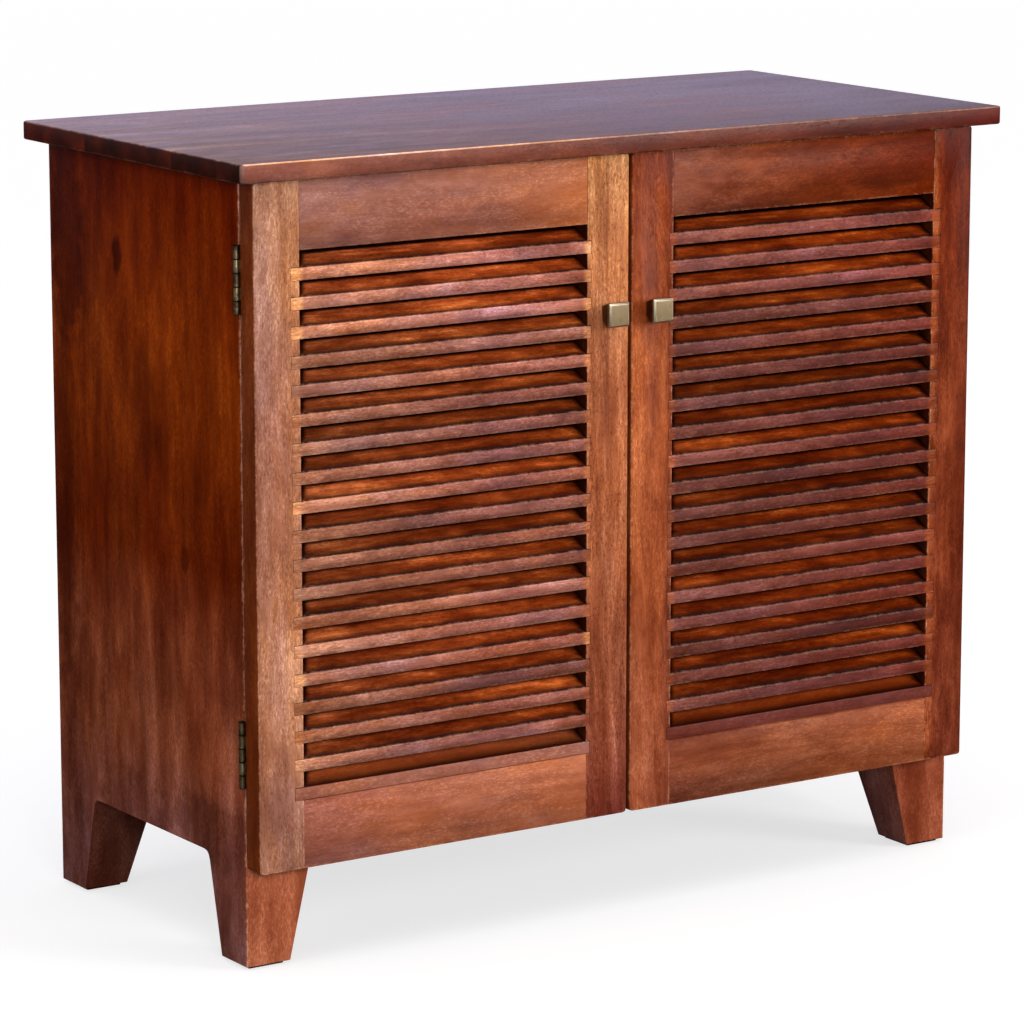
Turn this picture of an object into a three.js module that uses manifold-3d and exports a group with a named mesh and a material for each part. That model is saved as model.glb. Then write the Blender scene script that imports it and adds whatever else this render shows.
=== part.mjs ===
// Louvred door cabinet: a low two-door cupboard in stained solid wood, on four tapered legs.
// Lengths are in millimetres. X runs to the right, Z up from the floor, and Y backwards from
// the front faces of the shut doors. The finished cabinet is moved along Y at the end, so that
// its origin lies on the floor under the middle of its bounding box.

import * as THREE from 'three';
import { mergeVertices } from 'three/addons/utils/BufferGeometryUtils.js';
import Module from 'manifold-3d';

// Tabletop
const cabinetHeight = 760;
const tabletopWidth = 870;
const tabletopDepth = 420;
const tabletopThickness = 18;
const tabletopEdgeRadius = 2;
const tabletopCornerEasing = 3;
const tabletopSideOverhang = 22;
const tabletopFrontOverhang = 18;
const tabletopRearOverhang = 12;

// Sides, each glued up with its front and rear leg
const sideThickness = 19;
const legHeight = 100;
const legTopWidth = 70;
const legFootWidth = 47;
const archCornerEasing = 8;
const glideHeight = 3;
const glideInset = 5;

// Boards between the sides
const bottomBoardThickness = 18;
const shelfThickness = 16;
const shelfUnderside = 410;
const shelfSetback = 22;
const dadoDepth = 6;
const backPanelThickness = 9;
const backRebateWidth = 8;

// Door frames
const doorThickness = 24;
const doorUnderside = 98;
const doorToCarcassGap = 2;
const doorToTabletopGap = 2;
const meetingGap = 3;
const doorEdgeEasing = 3;
const doorCornerEasing = 5;
const stileWidth = 48;
const topRailHeight = 64;
const bottomRailHeight = 65;
const tenonLength = 25;
const tenonThickness = 8;
const tenonShoulder = 9;
const sillLineDepth = 2.5;
const sillLineWidths = { left: 0.4, right: 1.5 };

// Louvre slats
const slatCount = 18;
const slatBarHeight = 12;
const slatSlopeDegrees = 26;
const slatFirstDrop = 16;
const slatHousingDepths = { hinge: 9, meeting: 4 };
const slatArrisEasing = 1.2;

// Butt hinges
const hingeLength = 63.5;
const hingeKnuckles = 5;
const hingeKnuckleRadius = 3;
const hingePinRadius = 1.3;
const hingePinClearance = 0.15;
const hingePinTip = 0.8;
const hingeAxisOutset = 3.2;
const hingeLeafWidth = 19;
const hingeLeafThickness = 1.3;
const hingeLeafGap = 0.4;
const hingeLeafCornerEasing = 2;
const upperHingeDrop = 90;
const lowerHingeRise = 110;

// Knobs
const knobHeadWidth = 23;
const knobHeadThickness = 5;
const knobBevel = 1.8;
const knobBaseWidth = 14;
const knobProjection = 20;
const knobRise = 492;

// Fits and cuts
const fitClearance = 0.3;
const cutOverrun = 2;

// Counts of facets
const easingSegments = 3;
const roundSegments = 16;
const squareSides = 4;

// Places worked out from the sizes
const tabletopFront = -tabletopFrontOverhang;
const tabletopRear = tabletopFront + tabletopDepth;
const carcassTop = cabinetHeight - tabletopThickness;
const carcassHalfWidth = tabletopWidth / 2 - tabletopSideOverhang;
const carcassFront = doorThickness + doorToCarcassGap;
const carcassRear = tabletopRear - tabletopRearOverhang;
const backPanelFront = carcassRear - backPanelThickness;
const shelfFront = carcassFront + shelfSetback;
const doorTop = carcassTop - doorToTabletopGap;
const doorWidth = carcassHalfWidth - meetingGap / 2;
const topRailUnderside = doorTop - topRailHeight;
const sillUnderside = doorUnderside + bottomRailHeight;
const sillTop = sillUnderside + slatBarHeight;
const slatTilt = Math.tan(THREE.MathUtils.degToRad(slatSlopeDegrees));
const firstSlatTop = topRailUnderside - slatFirstDrop;
const slatPitch = (firstSlatTop - sillTop) / slatCount;
const hingeAxisX = carcassHalfWidth + hingeAxisOutset;
const hingeAxisY = doorThickness + doorToCarcassGap / 2;
const hingeHeights = { upper: doorTop - upperHingeDrop, lower: doorUnderside + lowerHingeRise };
const knobHeight = doorUnderside + knobRise;
const boundsMiddleY = (Math.min(tabletopFront, -knobProjection) + tabletopRear) / 2;

// Joining and cutting of closed solids
const solids = await Module();
solids.setup();

function toSolid(geometry) {
  const bare = geometry.clone();
  bare.deleteAttribute('normal');
  bare.deleteAttribute('uv');
  const merged = mergeVertices(bare);
  const mesh = new solids.Mesh({
    numProp: 3,
    vertProperties: new Float32Array(merged.attributes.position.array),
    triVerts: new Uint32Array(merged.index.array),
  });
  return new solids.Manifold(mesh);
}

function toGeometry(solid) {
  const mesh = solid.getMesh();
  const geometry = new THREE.BufferGeometry();
  geometry.setAttribute('position', new THREE.BufferAttribute(mesh.vertProperties, 3));
  geometry.setIndex(new THREE.BufferAttribute(mesh.triVerts, 1));
  geometry.computeVertexNormals();
  return geometry;
}

function join(first, ...others) {
  return toGeometry(others.reduce((sum, other) => sum.add(toSolid(other)), toSolid(first)));
}

function cut(body, ...cutters) {
  return toGeometry(cutters.reduce((rest, cutter) => rest.subtract(toSolid(cutter)), toSolid(body)));
}

function overlap(first, second) {
  return toGeometry(toSolid(first).intersect(toSolid(second)));
}

// A closed outline through the given corners. A third number eases a corner with a curve that
// starts and ends that far from it.
function outline(corners) {
  const points = corners.map(([a, b]) => new THREE.Vector2(a, b));
  const path = new THREE.Shape();
  corners.forEach(([, , easing = 0], i) => {
    const corner = points[i];
    const before = pointTowards(corner, points.at(i - 1), easing);
    const after = pointTowards(corner, points[(i + 1) % points.length], easing);
    if (i === 0) path.moveTo(before.x, before.y);
    else path.lineTo(before.x, before.y);
    if (easing > 0) path.quadraticCurveTo(corner.x, corner.y, after.x, after.y);
  });
  return path;
}

function pointTowards(start, goal, distance) {
  return goal.clone().sub(start).setLength(distance).add(start);
}

function rectangle(a0, a1, b0, b1) {
  return outline([[a0, b0], [a1, b0], [a1, b1], [a0, b1]]);
}

// Solids drawn out along one axis from a flat outline. The outline's two coordinates are places
// on the other two axes, in the order X, Y, Z.
const axisX = new THREE.Vector3(1, 0, 0);
const axisY = new THREE.Vector3(0, 1, 0);
const axisZ = new THREE.Vector3(0, 0, 1);

function drawnOut(shape, start, end) {
  const depth = Math.abs(end - start);
  return new THREE.ExtrudeGeometry(shape, { depth, bevelEnabled: false, curveSegments: easingSegments });
}

function alongX(shape, start, end) {
  const turn = new THREE.Matrix4().makeBasis(axisY, axisZ, axisX);
  return drawnOut(shape, start, end).applyMatrix4(turn).translate(Math.min(start, end), 0, 0);
}

function alongY(shape, start, end) {
  const turn = new THREE.Matrix4().makeBasis(axisX, axisZ, axisY.clone().negate());
  return drawnOut(shape, start, end).applyMatrix4(turn).translate(0, Math.max(start, end), 0);
}

function alongZ(shape, start, end) {
  return drawnOut(shape, start, end).translate(0, 0, Math.min(start, end));
}

function block([x0, x1], [y0, y1], [z0, z1]) {
  return alongZ(rectangle(x0, x1, y0, y1), z0, z1);
}

function cylinderAlongZ(radius, [x, y], [z0, z1]) {
  const cylinder = new THREE.CylinderGeometry(radius, radius, z1 - z0, roundSegments);
  return cylinder.rotateX(Math.PI / 2).translate(x, y, (z0 + z1) / 2);
}

// The left half has side -1 and the right half side 1. An inset is measured from the outer face
// of the side panel, which is also the outer edge of the door, towards the middle.
function insetX(side, inset) {
  return side * (carcassHalfWidth - inset);
}

// Carcass

function tabletop() {
  const halfWidth = tabletopWidth / 2 - tabletopEdgeRadius;
  const front = tabletopFront + tabletopEdgeRadius;
  const rear = tabletopRear - tabletopEdgeRadius;
  const plan = outline([
    [-halfWidth, front, tabletopCornerEasing],
    [halfWidth, front, tabletopCornerEasing],
    [halfWidth, rear, tabletopCornerEasing],
    [-halfWidth, rear, tabletopCornerEasing],
  ]);
  const slab = new THREE.ExtrudeGeometry(plan, {
    depth: tabletopThickness - 2 * tabletopEdgeRadius,
    bevelThickness: tabletopEdgeRadius,
    bevelSize: tabletopEdgeRadius,
    bevelSegments: easingSegments,
    curveSegments: easingSegments,
  });
  return slab.translate(0, 0, carcassTop + tabletopEdgeRadius);
}

// The side panel's outline across X: it runs down into both legs, with an arch between them.
function sideOutline() {
  return outline([
    [carcassFront, glideHeight],
    [carcassFront + legFootWidth, glideHeight],
    [carcassFront + legTopWidth, legHeight, archCornerEasing],
    [carcassRear - legTopWidth, legHeight, archCornerEasing],
    [carcassRear - legFootWidth, glideHeight],
    [carcassRear, glideHeight],
    [carcassRear, carcassTop],
    [carcassFront, carcassTop],
  ]);
}

// The thick leg blocks: the side's outline, kept only where the legs' own tapered front is.
function legBlocks(side) {
  const legFront = outline([
    [insetX(side, 0), glideHeight],
    [insetX(side, legFootWidth), glideHeight],
    [insetX(side, legTopWidth), legHeight],
    [insetX(side, 0), legHeight],
  ]);
  const fullThickness = alongX(sideOutline(), insetX(side, 0), insetX(side, legTopWidth));
  return overlap(fullThickness, alongY(legFront, carcassFront, carcassRear));
}

function glide(side, footStart) {
  const across = [insetX(side, glideInset), insetX(side, legFootWidth - glideInset)];
  const along = [footStart + glideInset, footStart + legFootWidth - glideInset];
  return block(across, along, [0, glideHeight + cutOverrun]);
}

function dado(side, front, underside, thickness) {
  const across = [insetX(side, sideThickness - dadoDepth), insetX(side, sideThickness + cutOverrun)];
  return block(across, [front, backPanelFront + cutOverrun], [underside, underside + thickness + fitClearance]);
}

function backRebate(side) {
  const across = [insetX(side, sideThickness - backRebateWidth), insetX(side, sideThickness + cutOverrun)];
  return block(across, [backPanelFront, carcassRear + cutOverrun], [legHeight, carcassTop + cutOverrun]);
}

// A shallow recess for a hinge leaf, open at the barrel's side. It reaches from the gap between
// door and carcass to just past the back of the leaf.
function hingeRecess(side, height, towardsRear) {
  const across = [insetX(side, -cutOverrun), side * (hingeAxisX - hingeLeafWidth - fitClearance)];
  const depth = hingeLeafGap / 2 + hingeLeafThickness + fitClearance;
  const along = [hingeAxisY, hingeAxisY + towardsRear * depth];
  const halfLength = hingeLength / 2 + fitClearance;
  return block(across, along, [height - halfLength, height + halfLength]);
}

function sidePanel(side) {
  const panel = alongX(sideOutline(), insetX(side, 0), insetX(side, sideThickness));
  const frontGlide = glide(side, carcassFront);
  const rearGlide = glide(side, carcassRear - legFootWidth);
  return cut(
    join(panel, legBlocks(side), frontGlide, rearGlide),
    dado(side, carcassFront - cutOverrun, legHeight, bottomBoardThickness),
    dado(side, shelfFront - fitClearance, shelfUnderside, shelfThickness),
    backRebate(side),
    hingeRecess(side, hingeHeights.upper, 1),
    hingeRecess(side, hingeHeights.lower, 1),
  );
}

function boardBetweenSides(front, underside, thickness) {
  const halfLength = carcassHalfWidth - sideThickness + dadoDepth - fitClearance;
  return block([-halfLength, halfLength], [front, backPanelFront], [underside, underside + thickness]);
}

function backPanel() {
  const halfWidth = carcassHalfWidth - sideThickness + backRebateWidth - fitClearance;
  return block([-halfWidth, halfWidth], [backPanelFront, carcassRear], [legHeight, carcassTop]);
}

// Door frames

// A rail's two tenons, each from a root inside the rail to its end inside a stile.
function railTenons(side, underside, top) {
  const middle = doorThickness / 2;
  const innerShoulder = doorWidth - stileWidth;
  const spans = [
    [stileWidth + cutOverrun, stileWidth - tenonLength],
    [innerShoulder - cutOverrun, innerShoulder + tenonLength],
  ];
  return spans.map(([root, end]) => ({
    x: [insetX(side, root), insetX(side, end)],
    y: [middle - tenonThickness / 2, middle + tenonThickness / 2],
    z: [underside + tenonShoulder, top - tenonShoulder],
  }));
}

function withTenons(rail, side, underside, top) {
  const tenons = railTenons(side, underside, top);
  return join(rail, ...tenons.map(({ x, y, z }) => block(x, y, z)));
}

function topRail(side) {
  const across = [insetX(side, stileWidth), insetX(side, doorWidth - stileWidth)];
  const rail = block(across, [0, doorThickness], [topRailUnderside, doorTop]);
  return withTenons(rail, side, topRailUnderside, doorTop);
}

// The bottom rail carries the lowest louvre, glued along its sloping top edge. A thin line is
// left on the front where the two meet.
function bottomRail(side, lineWidth) {
  const glueHeight = sillUnderside + slatBarHeight / 2;
  const section = outline([
    [0, doorUnderside],
    [doorThickness, doorUnderside],
    [doorThickness, glueHeight + doorThickness * slatTilt],
    [sillLineDepth, glueHeight + sillLineDepth * slatTilt],
    [sillLineDepth, sillUnderside],
    [0, sillUnderside - lineWidth],
  ]);
  const rail = alongX(section, insetX(side, stileWidth), insetX(side, doorWidth - stileWidth));
  return withTenons(join(rail, slat(side, sillTop)), side, doorUnderside, sillUnderside);
}

// A stile before its joints are cut. Its front arris and its two corners are eased along the
// door's free edge.
function stileBlank(side, freeInset, innerInset) {
  const freeX = insetX(side, freeInset);
  const innerX = insetX(side, innerInset);
  const plan = outline([
    [freeX, 0, doorEdgeEasing],
    [freeX, doorThickness],
    [innerX, doorThickness],
    [innerX, 0],
  ]);
  const front = outline([
    [freeX, doorUnderside, doorCornerEasing],
    [innerX, doorUnderside],
    [innerX, doorTop],
    [freeX, doorTop, doorCornerEasing],
  ]);
  return overlap(
    alongZ(plan, doorUnderside, doorTop),
    alongY(front, -cutOverrun, doorThickness + cutOverrun),
  );
}

function mortises(side, underside, top) {
  return railTenons(side, underside, top).map(({ x, y, z }) => block(
    [x[0], x[1] + Math.sign(x[1] - x[0]) * fitClearance],
    [y[0] - fitClearance, y[1] + fitClearance],
    [z[0] - fitClearance, z[1] + fitClearance],
  ));
}

// A sloping housing right through the stile for the end of one slat.
function slatHousing(side, innerInset, outwards, top) {
  const front = -cutOverrun;
  const rear = doorThickness + cutOverrun;
  const lower = top - slatBarHeight - fitClearance;
  const upper = top + fitClearance;
  const section = outline([
    [front, lower + front * slatTilt],
    [rear, lower + rear * slatTilt],
    [rear, upper + rear * slatTilt],
    [front, upper + front * slatTilt],
  ]);
  const depth = outwards < 0 ? slatHousingDepths.hinge : slatHousingDepths.meeting;
  const mouth = insetX(side, innerInset - outwards * cutOverrun);
  const end = insetX(side, innerInset + outwards * (depth + fitClearance));
  return alongX(section, mouth, end);
}

function slatTops() {
  return Array.from({ length: slatCount }, (_, i) => firstSlatTop - i * slatPitch);
}

// Outwards is -1 towards the hinges and 1 towards the meeting edge, as insets count.
function stile(side, freeInset, outwards, ...recesses) {
  const innerInset = freeInset - outwards * stileWidth;
  return cut(
    stileBlank(side, freeInset, innerInset),
    ...mortises(side, topRailUnderside, doorTop),
    ...mortises(side, doorUnderside, sillUnderside),
    ...[...slatTops(), sillTop].map((top) => slatHousing(side, innerInset, outwards, top)),
    ...recesses,
  );
}

function hingeStile(side) {
  const recesses = Object.values(hingeHeights).map((height) => hingeRecess(side, height, -1));
  return stile(side, 0, -1, ...recesses);
}

function meetingStile(side) {
  return stile(side, doorWidth, 1);
}

// A louvre: its front edge is flush with the door's face, and it climbs to the door's back.
function slat(side, top) {
  const rise = doorThickness * slatTilt;
  const bottom = top - slatBarHeight;
  const section = outline([
    [0, bottom, slatArrisEasing],
    [doorThickness, bottom + rise, slatArrisEasing],
    [doorThickness, top + rise, slatArrisEasing],
    [0, top, slatArrisEasing],
  ]);
  const outerEnd = insetX(side, stileWidth - slatHousingDepths.hinge);
  const innerEnd = insetX(side, doorWidth - stileWidth + slatHousingDepths.meeting);
  return alongX(section, outerEnd, innerEnd);
}

// Hinges. The leaves lie face to face in the gap behind the door, each let into the wood. Their
// knuckles alternate along the pin, and the frame leaf has the end ones and holds the pin.

function knuckleSpan(height, index) {
  const start = height - hingeLength / 2;
  const pitch = hingeLength / hingeKnuckles;
  return [start + index * pitch + fitClearance / 2, start + (index + 1) * pitch - fitClearance / 2];
}

function knuckleIndexes(isFrameLeaf) {
  const indexes = Array.from({ length: hingeKnuckles }, (_, i) => i);
  return indexes.filter((i) => (i % 2 === 0) === isFrameLeaf);
}

// A leaf's outline from the front: a plate set back from the barrel, with a tab at each of its
// own knuckles that ends inside the knuckle's wall.
function leafPlate(side, height, isFrameLeaf) {
  const knuckleWall = (hingePinRadius + hingePinClearance + hingeKnuckleRadius) / 2;
  const setBack = side * (hingeAxisX - hingeKnuckleRadius - fitClearance);
  const tabEnd = side * (hingeAxisX - knuckleWall);
  const farEdge = side * (hingeAxisX - hingeLeafWidth);
  const bottom = height - hingeLength / 2;
  const top = height + hingeLength / 2;
  const nearFace = hingeLeafGap / 2;
  const farFace = nearFace + hingeLeafThickness;
  const towardsRear = isFrameLeaf ? 1 : -1;
  const along = [hingeAxisY + towardsRear * nearFace, hingeAxisY + towardsRear * farFace];
  const plate = alongY(outline([
    [setBack, bottom],
    [farEdge, bottom, hingeLeafCornerEasing],
    [farEdge, top, hingeLeafCornerEasing],
    [setBack, top],
  ]), ...along);
  const tabs = knuckleIndexes(isFrameLeaf).map((index) => {
    const [tabBottom, tabTop] = knuckleSpan(height, index);
    return alongY(rectangle(tabEnd, setBack - side * fitClearance, tabBottom, tabTop), ...along);
  });
  return join(plate, ...tabs);
}

function knuckles(side, height, isFrameLeaf) {
  const place = [side * hingeAxisX, hingeAxisY];
  return knuckleIndexes(isFrameLeaf).map((index) => {
    return cylinderAlongZ(hingeKnuckleRadius, place, knuckleSpan(height, index));
  });
}

function frameLeaf(side, height) {
  const reach = hingeLength / 2 + hingePinTip;
  const pin = cylinderAlongZ(hingePinRadius, [side * hingeAxisX, hingeAxisY], [height - reach, height + reach]);
  return join(leafPlate(side, height, true), ...knuckles(side, height, true), pin);
}

function doorLeaf(side, height) {
  const reach = hingeLength / 2;
  const bore = cylinderAlongZ(
    hingePinRadius + hingePinClearance,
    [side * hingeAxisX, hingeAxisY],
    [height - reach, height + reach],
  );
  return cut(join(leafPlate(side, height, false), ...knuckles(side, height, false)), bore);
}

// A square knob: a bevelled head on a body that tapers back to the door. Its four sides come
// from a revolve in four steps, whose radius is half the diagonal of the square.
function knob(side) {
  const diagonalShare = Math.SQRT1_2;
  const profile = [
    [0, 0],
    [knobBaseWidth * diagonalShare, 0],
    [knobHeadWidth * diagonalShare, knobProjection - knobHeadThickness],
    [knobHeadWidth * diagonalShare, knobProjection - knobBevel],
    [(knobHeadWidth - 2 * knobBevel) * diagonalShare, knobProjection],
    [0, knobProjection],
  ].map(([radius, projection]) => new THREE.Vector2(radius, projection));
  const body = new THREE.LatheGeometry(profile, squareSides, Math.PI / squareSides);
  const x = insetX(side, doorWidth - stileWidth / 2);
  return toGeometry(toSolid(body.rotateX(Math.PI))).translate(x, 0, knobHeight);
}

// Colours, as stained wood and old brass

function wood(colour) {
  return new THREE.MeshStandardMaterial({ color: colour, roughness: 0.45, metalness: 0, flatShading: true });
}

function brass(colour) {
  return new THREE.MeshStandardMaterial({ color: colour, roughness: 0.4, metalness: 0.9, flatShading: true });
}

// The assembly

function addPiece(group, name, geometry, material) {
  const mesh = new THREE.Mesh(geometry, material);
  mesh.name = name;
  group.add(mesh);
}

function carcassGroup() {
  const group = new THREE.Group();
  addPiece(group, 'tabletop', tabletop(), wood('#5f4145'));
  addPiece(group, 'left_side', sidePanel(-1), wood('#5a2a17'));
  addPiece(group, 'right_side', sidePanel(1), wood('#5a2a17'));
  addPiece(group, 'bottom_board', boardBetweenSides(carcassFront, legHeight, bottomBoardThickness), wood('#6b3a20'));
  addPiece(group, 'shelf', boardBetweenSides(shelfFront, shelfUnderside, shelfThickness), wood('#744023'));
  addPiece(group, 'back_panel', backPanel(), wood('#5c3220'));
  return group;
}

function doorGroup(side, hand) {
  const name = `${hand}_door`;
  const group = new THREE.Group();
  addPiece(group, `${name}_hinge_stile`, hingeStile(side), wood('#a0623c'));
  addPiece(group, `${name}_meeting_stile`, meetingStile(side), wood('#96552f'));
  addPiece(group, `${name}_top_rail`, topRail(side), wood('#8c4c38'));
  addPiece(group, `${name}_bottom_rail`, bottomRail(side, sillLineWidths[hand]), wood('#8c4c38'));
  slatTops().forEach((top, i) => {
    const number = String(i + 1).padStart(2, '0');
    addPiece(group, `${name}_slat_${number}`, slat(side, top), wood('#7d4632'));
  });
  return group;
}

function hingeGroup(side, name) {
  const group = new THREE.Group();
  Object.entries(hingeHeights).forEach(([place, height]) => {
    addPiece(group, `${name}_${place}_hinge_frame_leaf`, frameLeaf(side, height), brass('#6f6350'));
    addPiece(group, `${name}_${place}_hinge_door_leaf`, doorLeaf(side, height), brass('#6f6350'));
  });
  return group;
}

function knobGroup() {
  const group = new THREE.Group();
  addPiece(group, 'left_knob', knob(-1), brass('#8c7a58'));
  addPiece(group, 'right_knob', knob(1), brass('#8c7a58'));
  return group;
}

const cabinet = new THREE.Group();
cabinet.add(
  carcassGroup(),
  doorGroup(-1, 'left'),
  doorGroup(1, 'right'),
  hingeGroup(-1, 'left'),
  hingeGroup(1, 'right'),
  knobGroup(),
);
cabinet.position.y = -boundsMiddleY;

export default cabinet;
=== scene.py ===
"""Looks of the louvred door cabinet: stained wood, old brass, screws, bolts and catches.

Everything is in metres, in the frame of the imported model: X to the right, Y backwards, Z up.
"""

import math

import bmesh
import bpy
from mathutils import Matrix, Vector


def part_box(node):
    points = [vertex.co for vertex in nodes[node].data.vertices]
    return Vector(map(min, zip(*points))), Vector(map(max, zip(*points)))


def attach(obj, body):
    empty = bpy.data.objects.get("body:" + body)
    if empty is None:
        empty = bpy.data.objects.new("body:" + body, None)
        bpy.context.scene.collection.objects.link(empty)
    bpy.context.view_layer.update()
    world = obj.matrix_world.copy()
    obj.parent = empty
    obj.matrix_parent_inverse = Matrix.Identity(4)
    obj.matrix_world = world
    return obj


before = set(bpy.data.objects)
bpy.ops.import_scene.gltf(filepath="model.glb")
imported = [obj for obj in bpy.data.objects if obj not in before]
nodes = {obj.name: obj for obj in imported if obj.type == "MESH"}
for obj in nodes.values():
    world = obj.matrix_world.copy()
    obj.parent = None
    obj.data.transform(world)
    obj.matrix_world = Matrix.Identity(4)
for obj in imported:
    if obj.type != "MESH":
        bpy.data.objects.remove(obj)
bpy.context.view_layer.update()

# Camera, fitted to the photograph
CAMERA_TARGET = Vector((-0.0087, 0.0, 0.3637))
CAMERA_DISTANCE = 4.534
CAMERA_AZIMUTH = -33.42
CAMERA_ELEVATION = 11.34
CAMERA_LENS = 160.6
SENSOR_WIDTH = 36.0

# Louvres, as in the solids
SLAT_SLOPE = math.tan(math.radians(26))
SLAT_HEIGHT = 0.012
SLAT_COUNT = 18
DOOR_THICKNESS = 0.024
SILL_RISE = 0.065


def linear(red, green, blue):
    """A colour given in screen values from 0 to 255, as the linear colour that shaders use."""
    return tuple(
        value / 12.92 if value <= 0.04045 else ((value + 0.055) / 1.055) ** 2.4
        for value in (red / 255, green / 255, blue / 255)
    ) + (1.0,)


class Graph:
    """Makes nodes by plain calls. A value is a number, a tuple or another node's output."""

    def __init__(self, tree):
        self.tree = tree

    def put(self, socket, value):
        if isinstance(value, bpy.types.NodeSocket):
            self.tree.links.new(value, socket)
        else:
            socket.default_value = value

    def node(self, kind, inputs=None, **settings):
        node = self.tree.nodes.new(kind)
        for name, setting in settings.items():
            setattr(node, name, setting)
        for key, value in (inputs or {}).items():
            self.put(node.inputs[key], value)
        return node

    def math(self, operation, *values):
        node = self.node("ShaderNodeMath", dict(enumerate(values)), operation=operation)
        return node.outputs[0]

    def times(self, first, second):
        return self.math("MULTIPLY", first, second)

    def minus(self, first, second):
        return self.math("SUBTRACT", first, second)

    def vector(self, operation, *values):
        node = self.node("ShaderNodeVectorMath", dict(enumerate(values)), operation=operation)
        return node.outputs["Value" if operation in ("LENGTH", "DOT_PRODUCT") else "Vector"]

    def split(self, vector):
        return self.node("ShaderNodeSeparateXYZ", {0: vector}).outputs

    def combine(self, x, y, z):
        return self.node("ShaderNodeCombineXYZ", {0: x, 1: y, 2: z}).outputs[0]

    def place(self):
        """Where a point is in the object, in metres, which is also its place in the frame."""
        return self.node("ShaderNodeTexCoord").outputs["Object"]

    def chance(self, value):
        """A random value and colour for one number."""
        return self.node("ShaderNodeTexWhiteNoise", {"W": value}, noise_dimensions="1D").outputs

    def noise(self, place, stretch, detail=2.0, roughness=0.5):
        """Noise from 0 to 1 around a half, with that many features to the metre along each axis."""
        stretched = self.vector("MULTIPLY", place, stretch)
        inputs = {"Vector": stretched, "Scale": 1.0, "Detail": detail, "Roughness": roughness}
        return self.node("ShaderNodeTexNoise", inputs).outputs["Fac"]

    def rings(self, value, detail=2.0):
        """Noise along a single value."""
        inputs = {"W": value, "Scale": 1.0, "Detail": detail, "Roughness": 0.6}
        return self.node("ShaderNodeTexNoise", inputs, noise_dimensions="1D").outputs["Fac"]

    def step(self, value, low, high):
        """A smooth rise from 0 at low to 1 at high."""
        inputs = {"Value": value, "From Min": low, "From Max": high}
        node = self.node("ShaderNodeMapRange", inputs, interpolation_type="SMOOTHSTEP")
        return node.outputs[0]

    def swing(self, noise, amount):
        """A noise turned into a swing around zero. The amount is its usual reach."""
        centred = self.minus(noise, 0.5)
        return self.times(centred, self.times(amount, 4.0))

    def sum(self, *values):
        total = values[0]
        for value in values[1:]:
            total = self.math("ADD", total, value)
        return total

    def mix(self, factor, first, second, blend="MIX"):
        inputs = {0: factor, 6: first, 7: second}
        return self.node("ShaderNodeMix", inputs, data_type="RGBA", blend_type=blend).outputs[2]

    def tint(self, colour, tint):
        return self.mix(1.0, colour, tint, "MULTIPLY")

    def surface(self, shader):
        self.node("ShaderNodeOutputMaterial", {"Surface": shader.outputs[0]})


def new_object(name, data):
    made = bpy.data.objects.new(name, data)
    bpy.context.scene.collection.objects.link(made)
    return made


def mesh_object(name, shape, materials):
    """Makes an object from a bmesh, with its faces turned outwards, and gives it materials."""
    bmesh.ops.recalc_face_normals(shape, faces=shape.faces)
    mesh = bpy.data.meshes.new(name)
    shape.to_mesh(mesh)
    shape.free()
    for material in materials:
        mesh.materials.append(material)
    return new_object(name, mesh)


# Stained wood

WOOD_PLACES = {"Grain": (0, 0, 0), "Spot": (0, 0, 0), "Half Size": (1, 1, 1)}
WOOD_CHARACTER = {
    "Rings": 0.2, "Bands": 0.2, "Streaks": 0.2, "Fibres": 0.2, "Flecks": 0.5, "Pores": 0.4,
    "Clouds": 0.2, "Blotches": 0.3, "Patches": 0.3, "Wear": 0.5,
}
WOOD_INPUTS = [
    *[(name, "Vector", place) for name, place in WOOD_PLACES.items()],
    ("Tone", "Color", (0.3, 0.1, 0.05, 1)),
    *[(name, "Float", amount) for name, amount in WOOD_CHARACTER.items()],
]
WOOD_OUTPUTS = {"Color": "Color", "Roughness": "Float", "Height": "Float"}
# Layers of grain: features to the metre along and across it, detail and roughness
GRAIN_LAYERS = {
    "Bands": ((2.2, 42, 42), 2.0, 0.6),
    "Streaks": ((13, 150, 150), 3.0, 0.6),
    "Fibres": ((60, 700, 700), 2.0, 0.6),
    "Clouds": ((30, 78, 78), 4.0, 0.68),
}
FLECK_LAYER = ((230, 620, 620), 2.0, 0.75)
BLOTCH_LAYER = ((6.5, 21, 21), 3.0, 0.62)
CROWDING_LAYER = ((14, 34, 34), 3.0, 0.6)
PATCH_LAYER = ((7, 26, 26), 4.0, 0.6)
PORE_DARKENING = -1.1
LACQUER_ROUGHNESS = 0.42
PITH_OFFSET = (0.0, 0.045, -0.07)
PITH_TILT = 0.05
RINGS_PER_METRE = 95
HUE_POWERS = (0.85, 1.2, 1.45)
# Purplish-grey patches: partly uneven stain, partly painted sheen of the lacquer
STAIN_AND_SHEEN_TINT = (0.7, 0.82, 1.16, 1)
WARM_TINT = (1.16, 1.04, 0.7, 1)
WORN_TINT = (1.6, 1.9, 2.1, 1)
BARE_WOOD = (0.62, 0.33, 0.2, 1)
BARE_SHARE = 0.4
# Tint of the dark patches: knots, darker stain and painted shade
DARK_PATCH_TINT = (0.3, 0.22, 0.2, 1)
LIGHT_FLECK_TINT = (1.32, 1.52, 1.55, 1)


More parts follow.
